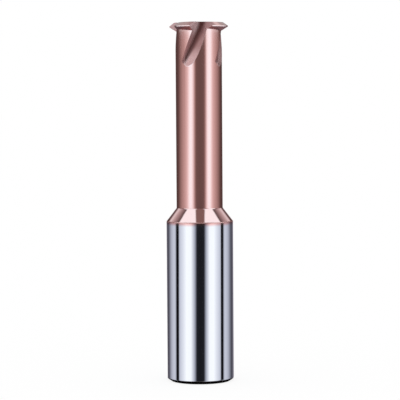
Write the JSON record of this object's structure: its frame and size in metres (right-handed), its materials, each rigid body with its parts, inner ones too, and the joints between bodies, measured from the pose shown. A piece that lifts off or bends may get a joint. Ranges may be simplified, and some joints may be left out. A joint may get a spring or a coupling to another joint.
{
  "type": "thread mill",
  "caption": "Solid carbide thread mill with a plain round shank, a cone, a slim neck and a single row of relieved thread-form teeth cut by slanted flutes.",
  "frame": {"origin": "centre of the shank's flat end", "axes": "+Z along the tool's axis towards the cutting tip, -Y to the front of the picture, +X to its right"},
  "size_m": [0.02, 0.02, 0.1075],
  "materials": {
    "coated_carbide": "ground and polished grey carbide on the shank, with a thin rose-bronze hard coat on the cone, neck and head"
  },
  "bodies": {
    "root": {"thread_mill": "coated_carbide"}
  },
  "joints": []
}
